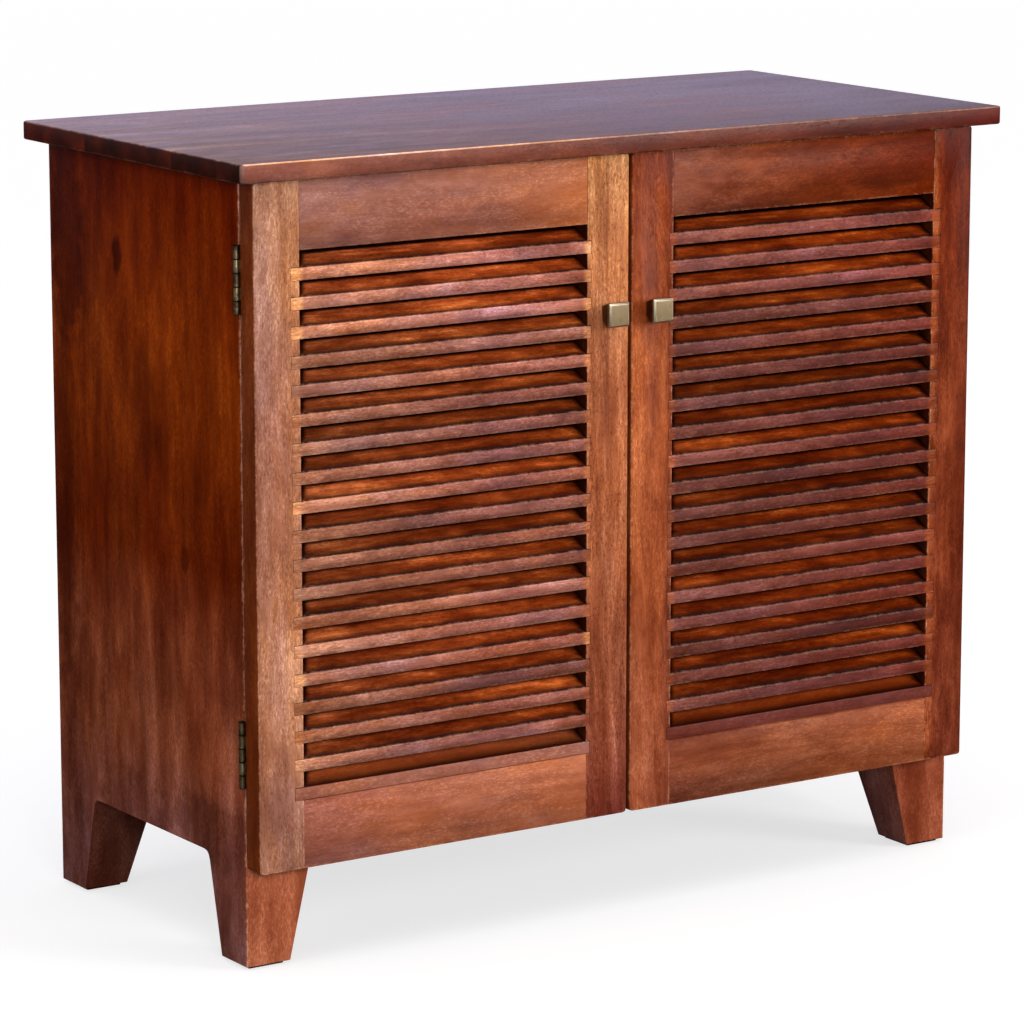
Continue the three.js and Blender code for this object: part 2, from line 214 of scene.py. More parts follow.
def wood_group():
    """Colour, roughness and height of stained wood, from a place with the grain along X."""
    group = bpy.data.node_groups.new("stained_wood", "ShaderNodeTree")
    new_socket = group.interface.new_socket
    for name, kind, default in WOOD_INPUTS:
        socket = new_socket(name, in_out="INPUT", socket_type=f"NodeSocket{kind}")
        socket.default_value = default
    for name, kind in WOOD_OUTPUTS.items():
        new_socket(name, in_out="OUTPUT", socket_type=f"NodeSocket{kind}")
    graph = Graph(group)
    given = graph.node("NodeGroupInput").outputs
    place = warped_grain(graph, given["Grain"])
    layers = {"Rings": graph.rings(pith_distance(graph, place))}
    for name, layer in GRAIN_LAYERS.items():
        layers[name] = graph.noise(place, *layer)
    layers["Blotches"] = graph.noise(given["Grain"], *BLOTCH_LAYER)
    flecks = graph.noise(place, *FLECK_LAYER)
    pores = graph.step(flecks, 0.57, 0.7)
    light_flecks = graph.step(flecks, 0.48, 0.36)
    stops = graph.sum(
        *[graph.swing(noise, given[name]) for name, noise in layers.items()],
        graph.times(pores, graph.times(given["Pores"], PORE_DARKENING)),
    )
    colour = stained(graph, given["Tone"], stops)
    colour = with_light_flecks(graph, colour, given, light_flecks)
    colour = with_patches(graph, colour, given)
    wear = edge_wear(graph, given)
    worn = graph.mix(BARE_SHARE, graph.tint(colour, WORN_TINT), BARE_WOOD)
    colour = graph.mix(wear, colour, worn)
    roughness = graph.sum(
        LACQUER_ROUGHNESS, graph.swing(layers["Blotches"], 0.05), graph.times(pores, 0.15),
        graph.times(wear, 0.15),
    )
    height = graph.sum(
        graph.times(layers["Fibres"], 0.5), graph.times(layers["Streaks"], 0.6),
        graph.times(pores, -0.8),
    )
    graph.node("NodeGroupOutput", {"Color": colour, "Roughness": roughness, "Height": height})
    return group


def warped_grain(graph, grain):
    """The grain's place, bent by slow waves so that its lines aren't straight."""
    stretched = graph.vector("MULTIPLY", grain, (2.4, 8, 8))
    waves = graph.node("ShaderNodeTexNoise", {"Vector": stretched, "Scale": 1.0, "Detail": 2.0})
    centred = graph.vector("SUBTRACT", waves.outputs["Color"], (0.5, 0.5, 0.5))
    return graph.vector("ADD", grain, graph.vector("MULTIPLY", centred, (0, 0.03, 0.03)))


def pith_distance(graph, place):
    """The distance to the middle of the trunk, which is slightly tilted, counted in rings."""
    along, across, up = graph.split(graph.vector("SUBTRACT", place, PITH_OFFSET))
    distance = graph.vector("LENGTH", graph.combine(0.0, across, up))
    tilted = graph.sum(distance, graph.times(along, PITH_TILT))
    return graph.times(tilted, RINGS_PER_METRE)


def stained(graph, tone, stops):
    """The tone made lighter or darker by stops. What is darker turns redder too."""
    gain = graph.math("POWER", 2.0, stops)
    powers = [graph.math("POWER", gain, power) for power in HUE_POWERS]
    return graph.tint(tone, graph.combine(*powers))


def with_light_flecks(graph, colour, given, light_flecks):
    """Short pale flecks, which lie closer together in some places than in others."""
    crowding = graph.step(graph.noise(given["Grain"], *CROWDING_LAYER), 0.3, 0.65)
    amount = graph.times(graph.times(light_flecks, crowding), given["Flecks"])
    return graph.mix(graph.times(amount, 1.3), colour, graph.tint(colour, LIGHT_FLECK_TINT))


def with_patches(graph, colour, given):
    """Soft purplish patches, partly uneven stain and partly painted sheen, and warmer ones where
    the stain took unevenly.
    """
    shifted = graph.vector("ADD", given["Grain"], (3.1, 5.7, 1.9))
    noise = graph.noise(shifted, *PATCH_LAYER)
    for low, high, tint in ((0.5, 0.64, STAIN_AND_SHEEN_TINT), (0.48, 0.36, WARM_TINT)):
        amount = graph.times(graph.step(noise, low, high), given["Patches"])
        colour = graph.mix(amount, colour, graph.tint(colour, tint))
    return colour


def edge_wear(graph, given):
    """How far the stain is rubbed off along the board's arrises, from 0 to 1."""
    inward = graph.vector("SUBTRACT", given["Half Size"], graph.vector("ABSOLUTE", given["Spot"]))
    x, y, z = graph.split(inward)
    low = graph.math("MINIMUM", x, y)
    high = graph.math("MAXIMUM", x, y)
    edge_distance = graph.math("MAXIMUM", low, graph.math("MINIMUM", high, z))
    ragged = graph.swing(graph.noise(given["Spot"], (260, 260, 260), 3.0, 0.7), 0.0014)
    band = graph.step(graph.sum(edge_distance, ragged), 0.002, 0.0006)
    rubbed = graph.step(graph.noise(given["Spot"], (75, 75, 75), 4.0, 0.75), 0.44, 0.58)
    return graph.times(graph.times(band, rubbed), given["Wear"])


WOOD = wood_group()


def grain_place(graph, place, axis, seed):
    """Turns a place so that the grain's axis comes first, and moves it to a plank of its own."""
    x, y, z = graph.split(place)
    turned = {"X": (x, y, z), "Y": (y, x, z), "Z": (z, y, x)}[axis]
    return graph.vector("ADD", graph.combine(*turned), seed)


def finish_wood(graph, given, specular, crown=None):
    """The surface of a wood material: the wood group under satin lacquer with a fine relief."""
    wood = graph.node("ShaderNodeGroup", given, node_tree=WOOD).outputs
    relief = graph.node(
        "ShaderNodeBump", {"Strength": 0.4, "Distance": 0.0004, "Height": wood["Height"]}
    )
    if crown is not None:
        shape = graph.node("ShaderNodeBump", {"Strength": 1.0, "Distance": 1.0, "Height": crown})
        graph.put(relief.inputs["Normal"], shape.outputs[0])
    graph.surface(graph.node("ShaderNodeBsdfPrincipled", {
        "Base Color": wood["Color"], "Roughness": wood["Roughness"],
        "Normal": relief.outputs[0], "Specular IOR Level": specular,
    }))


def new_material(name):
    material = bpy.data.materials.new(name)
    material.use_nodes = True
    material.node_tree.nodes.clear()
    return material, Graph(material.node_tree)


def board_box(name):
    low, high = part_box(name)
    return (low + high) / 2, (high - low) / 2


def in_board(graph, place, name):
    """A place measured from the board's middle, and half the board's size."""
    centre, half = board_box(name)
    return graph.vector("SUBTRACT", place, tuple(centre)), half


def board_material(name, axis, tones, seed, knots=(), stretches=(), facings=(), joints=(),
                   sill=None, specular=0.08, **character):
    """One board's wood. Its tone runs from the first tone to the last one along the grain."""
    material, graph = new_material(name)
    place = graph.place()
    spot, half = in_board(graph, place, name)
    tone = tone_along(graph, spot, "XYZ".index(axis), half, tones)
    for dark_patch in knots:
        tone = with_dark_patch(graph, tone, place, dark_patch)
    for stretch in stretches:
        tone = with_stretch(graph, tone, place, stretch)
    patches = character.pop("Patches")
    for where, facing_tone in facings:
        amount = facing_amount(graph, place, **where)
        tone = graph.mix(amount, tone, linear(*facing_tone))
        patches = graph.times(patches, graph.minus(1.0, amount))
    for joint in joints:
        tone = with_stretch(graph, tone, place, joint)
    if sill:
        tone = with_sill(graph, tone, place, sill)
    given = {
        "Grain": grain_place(graph, spot, axis, seed),
        "Spot": spot,
        "Half Size": (half[0], half[1], half[2] + (UNWORN if joints else 0.0)),
        "Tone": tone,
        "Patches": patches,
        **character,
    }
    finish_wood(graph, given, specular)
    return material


def tone_along(graph, spot, index, half, tones):
    """The tone between evenly spaced tones along one axis of the board."""
    position = graph.math("DIVIDE", graph.split(spot)[index], half[index] * 2)
    share = graph.sum(position, 0.5)
    ramp = graph.node("ShaderNodeValToRGB", {0: share})
    elements = ramp.color_ramp.elements
    elements[0].color = linear(*tones[0])
    elements[1].color = linear(*tones[-1])
    for i, tone in enumerate(tones[1:-1], start=1):
        elements.new(i / (len(tones) - 1)).color = linear(*tone)
    return ramp.outputs[0]


def facing_amount(graph, place, direction, both_ways=False, frontmost=-1.0, rearmost=1.0,
                  highest=1.0, focus=(0.55, 0.9)):
    """1 on the faces that look in a direction, between two places in depth, up to a height."""
    normal = graph.node("ShaderNodeTexCoord").outputs["Normal"]
    along = graph.vector("DOT_PRODUCT", normal, direction)
    if both_ways:
        along = graph.math("ABSOLUTE", along)
    _, y, z = graph.split(place)
    behind = graph.step(y, frontmost - 0.01, frontmost)
    before = graph.step(y, rearmost + 0.01, rearmost)
    below = graph.step(z, highest + 0.02, highest)
    inside = graph.times(graph.times(behind, before), below)
    return graph.times(graph.step(along, *focus), inside)


def with_stretch(graph, tone, place, stretch):
    """Another tone between two places along one axis, with a soft and wavy change."""
    axis, low, high, softness, strength, stretch_tone = stretch
    waves = graph.swing(graph.noise(place, (40, 40, 9), 2.0), softness * 0.5)
    along = graph.sum(graph.split(place)["XYZ".index(axis)], waves)
    after = graph.step(along, low, low + softness)
    before = graph.step(along, high, high - softness)
    amount = graph.times(graph.times(after, before), strength)
    return graph.mix(amount, tone, linear(*stretch_tone))


def with_dark_patch(graph, tone, place, dark_patch):
    """A soft dark patch, for knots, darker stain and painted shade: its middle, its reach along Y
    and
    Z, and its strength.
    """
    y, z, reach_y, reach_z, strength = dark_patch
    offset = graph.vector("SUBTRACT", place, (0, y, z))
    wobble = graph.swing(graph.noise(place, (60, 60, 60), 2.0), 0.25)
    scaled = graph.vector("MULTIPLY", offset, (0, 1 / reach_y, 1 / reach_z))
    distance = graph.sum(graph.vector("LENGTH", scaled), wobble)
    amount = graph.times(graph.step(distance, 1.2, 0.6), strength)
    return graph.mix(amount, tone, graph.tint(tone, DARK_PATCH_TINT))


def dress(name, material):
    for slot in nodes[name].material_slots:
        slot.material = material


# Boards: the grain's axis, the tones along it, the plank's seed and the wood's character. Under
# facings, the faces that look in a direction have a tone of their own, mostly painted light and
# shade.
# Painted shade on the stiles' side faces: the outer edge is partly darker stain and partly painted
# shade, and the inner faces in the openings and the gap between the doors are painted shade.
STILE_OUTER_STAIN_AND_SHADE = (112, 46, 14)
STILE_INNER_SHADE = (62, 22, 8)
LOOKING_LEFT = {"direction": (-1, 0, 0)}
LOOKING_RIGHT = {"direction": (1, 0, 0)}
OUTER_FACE_LEFT = [(LOOKING_LEFT, STILE_OUTER_STAIN_AND_SHADE), (LOOKING_RIGHT, STILE_INNER_SHADE)]
OUTER_FACE_RIGHT = [(LOOKING_RIGHT, STILE_OUTER_STAIN_AND_SHADE), (LOOKING_LEFT, STILE_INNER_SHADE)]
SIDE_TONES = [(140, 88, 84), (145, 73, 46), (104, 33, 4), (124, 46, 5), (103, 26, 1)]
# Side panels: their fronts and the front legs' fronts are lighter, partly stain and partly painted
# light; the rear legs' fronts get painted shade; a pale line low on arrises turned to the front
# left is a painted highlight.
FRONT = {"direction": (0, -1, 0), "rearmost": 0.0}
LEG_FRONT = {**FRONT, "highest": 0.1}
REAR_LEG_FRONT = {"direction": (0, -1, 0), "frontmost": 0.05}
LEFT_ARRIS_HIGHLIGHT = {"direction": (-0.707, -0.707, 0), "highest": 0.1, "focus": (0.93, 0.99)}
# Added to half a board's size where an end is let in or covered, so that it isn't worn
UNWORN = 0.01
GLIDE_JOINT = ("Z", -0.01, 0.0034, 0.0003, 1.0, (30, 12, 8))
RAIL = {
    "Rings": 0.15, "Bands": 0.2, "Streaks": 0.1, "Fibres": 0.15, "Flecks": 1.0, "Clouds": 0.35,
    "Blotches": 0.35, "Pores": 0.25, "Patches": 0.6, "Wear": 0.6,
}


def rail(tones, seed, **changes):
    return dict(axis="X", tones=tones, seed=seed, **{**RAIL, **changes})


def side_panel(seed, lit_leg_front_tone, knots=()):
    return dict(
        axis="Z", tones=SIDE_TONES, seed=seed, specular=0.015, knots=knots, joints=[GLIDE_JOINT],
        Rings=0.1, Bands=0.38, Streaks=0.12, Fibres=0.12, Flecks=2.2, Pores=0.4, Clouds=0.28,
        Blotches=1.0, Patches=0.4, Wear=1.2,
        # Painted light and shade by facing: lit fronts, shaded rear leg fronts, a highlighted
        # arris.
        facings=[
            (FRONT, (150, 92, 78)), (LEG_FRONT, lit_leg_front_tone),
            (REAR_LEG_FRONT, (92, 46, 34)), (LEFT_ARRIS_HIGHLIGHT, (178, 108, 78)),
        ],
    )


BOARDS = {
    # The first two are knots. Those at y 0.155 to 0.18 darken the panel towards the back, partly
    # stain and partly painted shade; the rest are darker patches low down and in the middle.
    "left_side": side_panel((1.3, 0.02, 0.01), (183, 101, 70), knots=[
        (0.066, 0.645, 0.01, 0.02, 0.95), (-0.059, 0.372, 0.009, 0.012, 0.6),
        (0.165, 0.66, 0.035, 0.12, 0.75), (0.18, 0.42, 0.03, 0.22, 0.4),
        (0.02, 0.5, 0.03, 0.07, 0.35), (0.155, 0.17, 0.045, 0.13, 0.45),
        (0.18, 0.04, 0.05, 0.06, 0.25), (-0.1, 0.118, 0.09, 0.04, 0.55),
        (0.05, 0.115, 0.06, 0.04, 0.4),
    ]),
    "right_side": side_panel((4.1, 0.05, 0.03), (158, 80, 54)),
    "bottom_board": dict(
        axis="X", tones=[(120, 62, 38), (112, 56, 34)], seed=(7.7, 0.01, 0.04),
        Rings=0.25, Flecks=0.4, Clouds=0.4, Blotches=0.5, Patches=0.2, Wear=0.2,
    ),
    "shelf": dict(
        axis="X", tones=[(124, 66, 40), (116, 60, 36)], seed=(9.2, 0.06, 0.02),
        Rings=0.3, Flecks=0.4, Clouds=0.4, Blotches=0.5, Patches=0.2, Wear=0.3,
    ),
    "back_panel": dict(
        axis="Z", tones=[(112, 58, 36), (104, 50, 30)], seed=(12.4, 0.03, 0.01),
        Rings=0.35, Flecks=0.35, Clouds=0.4, Blotches=0.6, Patches=0.2, Wear=0.1,
    ),
    "left_door_hinge_stile": dict(
        axis="Z", tones=[(163, 107, 86), (169, 108, 82), (155, 95, 74), (192, 131, 97)],
        seed=(15.3, 0.02, 0.05), facings=OUTER_FACE_LEFT,
        Rings=0.1, Bands=0.25, Streaks=0.2, Fibres=0.25, Flecks=1.6, Clouds=0.5,
        Blotches=0.6, Pores=0.7, Patches=0.45, Wear=0.7,
        stretches=[
            ("X", -0.42, -0.39, 0.012, 0.25, (170, 114, 92)),
            ("X", -0.384, -0.36, 0.01, 0.35, (204, 132, 84)),
            ("Z", 0.11, 0.2, 0.04, 0.4, (140, 92, 84)),
        ],
    ),
    "left_door_meeting_stile": dict(
        axis="Z", tones=[(120, 53, 41), (166, 90, 57), (185, 107, 68), (200, 126, 73)],
        seed=(18.8, 0.01, 0.02), facings=OUTER_FACE_RIGHT,
        Rings=0.3, Bands=0.5, Streaks=0.5, Fibres=0.3, Flecks=1.5, Clouds=0.3,
        Blotches=0.5, Pores=1.0, Patches=0.3, Wear=0.6,
        stretches=[("X", -0.03, -0.024, 0.003, 0.4, (140, 72, 44))],
    ),
    "left_door_top_rail": rail(
        [(158, 104, 91), (166, 100, 80), (196, 114, 73)], (21.1, 0.04, 0.02),
        Rings=0.12, Bands=0.15, Flecks=0.9,
    ),
    "left_door_bottom_rail": rail(
        [(158, 91, 75), (170, 97, 69), (179, 99, 64)], (24.6, 0.05, 0.04), sill="left",
    ),
    "right_door_meeting_stile": dict(
        axis="Z", tones=[(153, 77, 49), (161, 81, 46), (165, 82, 42), (130, 49, 15)],
        seed=(27.9, 0.02, 0.03), facings=OUTER_FACE_LEFT,
        Rings=0.2, Bands=0.5, Streaks=0.3, Fibres=0.25, Flecks=1.2, Clouds=0.6, Blotches=0.7,
        Pores=0.5, Patches=0.3, Wear=0.8,
        stretches=[("X", 0.037, 0.06, 0.008, 0.55, (112, 52, 40))],
    ),
    "right_door_hinge_stile": dict(
        axis="Z", tones=[(128, 57, 35), (126, 53, 26), (98, 25, 0)], seed=(31.5, 0.03, 0.05),
        facings=OUTER_FACE_RIGHT,
        Rings=0.15, Bands=0.6, Streaks=0.3, Fibres=0.25, Flecks=1.4, Clouds=0.8,
        Blotches=1.0, Pores=0.9, Patches=0.3, Wear=0.8,
        stretches=[("X", 0.36, 0.375, 0.006, 0.32, (170, 84, 40))],
    ),
    "right_door_top_rail": rail(
        [(150, 83, 61), (122, 50, 20), (107, 28, 0)], (34.2, 0.02, 0.01),
        Streaks=0.15, Flecks=1.2, Clouds=0.5, Blotches=0.8, Patches=0.8, Wear=0.8,
    ),
    "right_door_bottom_rail": rail(
        [(125, 62, 42), (148, 79, 50), (168, 90, 56)], (37.7, 0.06, 0.03), sill="right",
        Streaks=0.15, Flecks=1.2, Clouds=0.45, Blotches=0.5, Patches=0.4, Wear=0.7,
    ),
}


# Tabletop: glued from boards that run along X

TOP_TONES = [(124, 94, 91), (94, 56, 50), (70, 34, 26)]
TOP_FRONT_TONES = [(159, 96, 80), (112, 50, 32), (76, 8, 0)]
TOP_END_TONES = [(48, 8, 0), (62, 12, 0), (72, 12, 0)]
# Painted highlights on the eased arrises of the tabletop's front and its front left corner
TOP_ARRIS_HIGHLIGHT = (236, 180, 150)
TOP_CORNER_HIGHLIGHT = (150, 108, 98)
TOP_BOARD_WIDTH = 0.083
TOP_SPECULAR = 0.2


def tabletop_material():
    material, graph = new_material("tabletop")
    place = graph.place()
    spot, half = in_board(graph, place, "tabletop")
    across = graph.math("DIVIDE", graph.split(spot)[1], TOP_BOARD_WIDTH)
    board = graph.math("FLOOR", across)
    chance = graph.chance(board)
    shift = graph.vector("MULTIPLY", chance["Color"], (9.0, 0.2, 0.2))
    tone = lifted(graph, tone_along(graph, spot, 0, half, TOP_TONES), chance, 0.45)
    front = tone_along(graph, spot, 0, half, TOP_FRONT_TONES)
    on_front = facing_amount(graph, place, (0, 1, 0), both_ways=True)
    on_end = facing_amount(graph, place, (1, 0, 0), both_ways=True)
    end = tone_along(graph, spot, 1, half, TOP_END_TONES)
    tone = graph.mix(on_end, graph.mix(on_front, tone, front), end)
    tone = tabletop_arris_highlights(graph, tone, place)
    given = {
        "Grain": graph.vector("ADD", grain_place(graph, spot, "X", (40.3, 0.03, 0.02)), shift),
        "Spot": spot,
        "Half Size": tuple(half),
        "Tone": tone,
        "Rings": 0.12, "Bands": 0.4, "Streaks": 0.08, "Fibres": 0.05, "Flecks": 0.8,
        "Clouds": 0.4, "Patches": 0.6, "Wear": 0.5,
        "Blotches": graph.sum(0.9, graph.times(on_end, 0.6)),
    }
    finish_wood(graph, given, TOP_SPECULAR)
    return material


def tabletop_arris_highlights(graph, tone, place):
    """Painted highlights on the eased arrises round the tabletop's front, mostly towards the left
    corner.
    """
    shine = facing_amount(graph, place, (0, -0.75, 0.66), focus=(0.88, 0.98))
    towards_right = graph.step(graph.split(place)[0], -0.35, 0.25)
    fading = graph.minus(1.0, graph.times(towards_right, 0.85))
    tone = graph.mix(graph.times(shine, fading), tone, linear(*TOP_ARRIS_HIGHLIGHT))
    corner = facing_amount(graph, place, (-0.707, -0.707, 0), focus=(0.86, 0.97))
    return graph.mix(corner, tone, linear(*TOP_CORNER_HIGHLIGHT))


def exposed(graph, tone, stops):
    """A tone made lighter by stops, or darker where they are below zero."""
    gain = graph.math("POWER", 2.0, stops)
    return graph.tint(tone, graph.combine(gain, gain, gain))


def lifted(graph, tone, chance, amount):
    """A tone made lighter or darker by chance, for one board out of a row of boards."""
    return exposed(graph, tone, graph.times(graph.minus(chance["Value"], 0.5), amount))


# Louvres

# Per hand: tones of the bars and slopes, how much darker a bar is low down, the tint of the painted
# highlight towards a slope's back, and the patches and wear.
LOUVRES = {
    "left": {
        "bars": [(180, 112, 83), (165, 101, 82), (158, 92, 79), (158, 91, 73)],
        "slopes": [(137, 63, 25), (141, 58, 18), (135, 53, 12)],
        "lower_shade": 0.55, "rear_highlight_tint": (2.6, 2.7, 4.0, 1), "patches": 0.7, "wear": 0.45,
    },
    "right": {
        "bars": [(118, 63, 53), (114, 56, 48), (113, 46, 35)],
        "slopes": [(118, 43, 8), (116, 39, 5), (112, 37, 4)],
        "lower_shade": 0.7, "rear_highlight_tint": (2.5, 2.8, 4.4, 1), "patches": 0.55, "wear": 0.38,
    },
}
LOUVRE_END_BRIGHT = (200, 132, 84)
SLOPE_DARKENING = 0.75
SILL_SHADE = (0.7, 0.66, 0.66, 1)
# Tint of the painted shade at a sloping face's back and ends, also used for its darker front
LOUVRE_DARK = (0.12, 0.07, 0.05, 1)
LOUVRE_CROWN_RADIUS = 0.026
SLOPE_FACING = (0.35, 0.75)
LOUVRE_SPECULAR = 0.1


def louvre_material(hand):
    """Louvres: pinkish matte front edges, and sloping faces with an orange-brown stain, whose
    painted highlight and shade make them look glossier.
    """
    material, graph = new_material(f"{hand}_louvres")
    low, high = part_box(f"{hand}_door_slat_01")
    second_low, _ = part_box(f"{hand}_door_slat_02")
    pitch = low.z - second_low.z
    place = graph.place()
    x, depth, level = along_slope(graph, place, low)
    from_first = graph.minus(low.z + SLAT_HEIGHT / 2, level)
    number = graph.math("ROUND", graph.math("DIVIDE", from_first, pitch))
    height = graph.minus(graph.times(number, pitch), from_first)
    centre_x = (low.x + high.x) / 2
    from_middle = graph.minus(depth, DOOR_THICKNESS / 2)
    spot = graph.combine(graph.minus(x, centre_x), from_middle, height)
    half = (high.x - centre_x, DOOR_THICKNESS / 2, SLAT_HEIGHT / 2)
    chance = graph.chance(graph.sum(number, 0.37))
    shift = graph.vector("MULTIPLY", chance["Color"], (9.0, 0.3, 0.3))
    look = LOUVRES[hand]
    bar = tone_along(graph, spot, 0, half, look["bars"])
    slope = tone_along(graph, spot, 0, half, look["slopes"])
    facing_up = graph.split(graph.node("ShaderNodeNewGeometry").outputs["Normal"])[2]
    on_slope = graph.step(facing_up, *SLOPE_FACING)
    slope = slope_light_and_shade(graph, darkened(graph, slope, chance), x, depth, hand)
    bar = bar_ends(graph, bar_shade(graph, bar, height, hand), place, hand, chance)
    tone = lifted(graph, graph.mix(on_slope, bar, slope), chance, 0.8)
    given = {
        "Grain": graph.vector("ADD", spot, shift),
        "Spot": spot,
        "Half Size": (half[0] + UNWORN, half[1], half[2]),
        "Tone": tone,
        "Rings": 0.15, "Bands": 0.4, "Fibres": 0.3, "Flecks": 1.9, "Pores": 0.6,
        "Streaks": graph.sum(0.2, graph.times(on_slope, 0.5)),
        "Clouds": graph.sum(0.6, graph.times(on_slope, 0.6)),
        "Blotches": graph.sum(0.7, graph.times(on_slope, 0.6)),
        "Patches": graph.times(graph.minus(1.0, on_slope), look["patches"]),
        "Wear": look["wear"],
    }
    finish_wood(graph, given, LOUVRE_SPECULAR, louvre_crown(graph, from_middle))
    return material


def along_slope(graph, place, low):
    """A place's x, its depth behind the door's face, and its height once the slope is taken off."""
    x, y, z = graph.split(place)
    depth = graph.minus(y, low.y)
    return x, depth, graph.minus(z, graph.times(depth, SLAT_SLOPE))


def darkened(graph, slope, chance):
    """Some sloping faces took more stain than others."""
    share = graph.split(chance["Color"])[2]
    return exposed(graph, slope, graph.times(share, -SLOPE_DARKENING))


def bar_shade(graph, bar, height, hand):
    """A bar is darker towards its lower arris."""
    shade = LOUVRES[hand]["lower_shade"]
    low = graph.step(height, 0.2 * SLAT_HEIGHT, -0.5 * SLAT_HEIGHT)
    return graph.mix(low, bar, graph.tint(bar, (shade, shade, shade, 1)))


def bar_ends(graph, bar, place, hand, chance):
    """The ends let into the stiles were sanded and stained with them. A few stayed brighter."""
    x = graph.split(place)[0]
    openings = door_opening(hand)
    stiles = ("hinge", "meeting") if hand == "left" else ("meeting", "hinge")
    for stile, opening, outward in zip(stiles, openings, (-1, 1)):
        name = f"{hand}_door_{stile}_stile"
        spot, half = in_board(graph, place, name)
        stile_tone = tone_along(graph, spot, 2, half, BOARDS[name]["tones"])
        for stretch in BOARDS[name]["stretches"]:
            stile_tone = with_stretch(graph, stile_tone, place, stretch)
        bright = graph.step(chance["Value"], 0.7, 0.9) if hand == "left" else 0.0
        end_tone = graph.mix(bright, stile_tone, linear(*LOUVRE_END_BRIGHT))
        past = graph.times(graph.minus(x, opening), outward)
        bar = graph.mix(graph.step(past, -0.006, 0.001), bar, end_tone)
    return bar


def louvre_crown(graph, from_middle):
    """The height of a louvre's gently rounded face above a flat one, in metres."""
    square = graph.times(from_middle, from_middle)
    return graph.times(square, -0.5 / LOUVRE_CROWN_RADIUS)


def slope_light_and_shade(graph, tone, x, depth, hand):
    """A sloping face's painted light and shade: a painted highlight that grows paler towards the
    back, painted shade at the back under the bar above, a painted cast shadow of the left stile
    that leans with depth, painted shade at the right stile, and a darker band just behind the bar's
    top arris.
    """
    left_end, right_end = door_opening(hand)
    front = graph.step(depth, 0.0085, 0.001)
    rear = graph.step(depth, 0.0175, 0.021)
    leaning = graph.times(depth, 0.62)
    left = graph.step(graph.minus(graph.minus(x, left_end), leaning), 0.008, 0.001)
    right = graph.step(graph.minus(right_end, x), 0.008, 0.0)
    across = graph.math("MAXIMUM", front, rear)
    dark = graph.math("MAXIMUM", across, graph.math("MAXIMUM", left, right))
    rising = graph.step(depth, 0.004, 0.018)
    lit = graph.mix(rising, tone, graph.tint(tone, LOUVRES[hand]["rear_highlight_tint"]))
    return graph.mix(dark, lit, graph.tint(tone, LOUVRE_DARK))


def door_opening(hand):
    """Where the stiles' inner faces are, from left to right."""
    stiles = [board_box(f"{hand}_door_{place}_stile") for place in ("hinge", "meeting")]
    left, right = sorted(stiles, key=lambda box: box[0].x)
    return left[0].x + left[1].x, right[0].x - right[1].x


def with_sill(graph, tone, place, hand):
    """The lowest louvre, glued to the bottom rail, in the louvres' own tones, with the same painted
    light and shade on its sloping face.
    """
    low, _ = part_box(f"{hand}_door_bottom_rail")
    x, depth, level = along_slope(graph, place, low)
    facing_up = graph.split(graph.node("ShaderNodeTexCoord").outputs["Normal"])[2]
    look = LOUVRES[hand]
    slope_tone = graph.tint(linear(*look["slopes"][0]), SILL_SHADE)
    slope = slope_light_and_shade(graph, slope_tone, x, depth, hand)
    on_slope = graph.step(facing_up, *SLOPE_FACING)
    louvre = graph.mix(on_slope, linear(*look["bars"][1]), slope)
    above = graph.step(level, low.z + SILL_RISE - 0.0003, low.z + SILL_RISE + 0.0003)
    return graph.mix(above, tone, louvre)


# Old brass

KNUCKLE_HEIGHT = 0.0127
# Painted highlight on a knob's front arrises and painted shade on its sides and neck
KNOB_ARRIS_HIGHLIGHT = (236, 224, 196)
KNOB_SIDE_SHADE = (64, 52, 34)
KNOB_FRONT_DEPTH = 0.0035
KNUCKLE_JOINT_TONE = (24, 16, 12)


def brass_material(name, bright, dark, seed, roughness=0.34, grime_share=0.5, barrel=None,
                   knob=None):
    """Brass with a brown patina in patches, and more in a hinge's joints. A knob gets painted
    highlights on its front arrises and painted shade on its sides and neck.
    """
    material, graph = new_material(name)
    place = graph.place()
    moved = graph.vector("ADD", place, seed)
    clouds = graph.noise(moved, (90, 90, 90), 4.0, 0.6)
    brushing = graph.noise(moved, (300, 300, 4000), 2.0)
    edge = 0.7 - 0.4 * grime_share
    grime = graph.step(clouds, edge - 0.08, edge + 0.08)
    colour = graph.mix(grime, linear(*bright), linear(*dark))
    if barrel:
        joints = knuckle_joints(graph, place, barrel)
        colour = graph.mix(joints, colour, linear(*KNUCKLE_JOINT_TONE))
    if knob:
        colour = knob_highlight_and_shade(graph, colour, place, knob)
    rough = graph.sum(roughness, graph.times(grime, 0.15), graph.swing(brushing, 0.04))
    height = graph.sum(clouds, brushing)
    relief = graph.node("ShaderNodeBump", {"Strength": 0.2, "Distance": 0.0002, "Height": height})
    graph.surface(graph.node("ShaderNodeBsdfPrincipled", {
        "Base Color": colour, "Metallic": 1.0, "Roughness": rough, "Normal": relief.outputs[0],
    }))
    return material


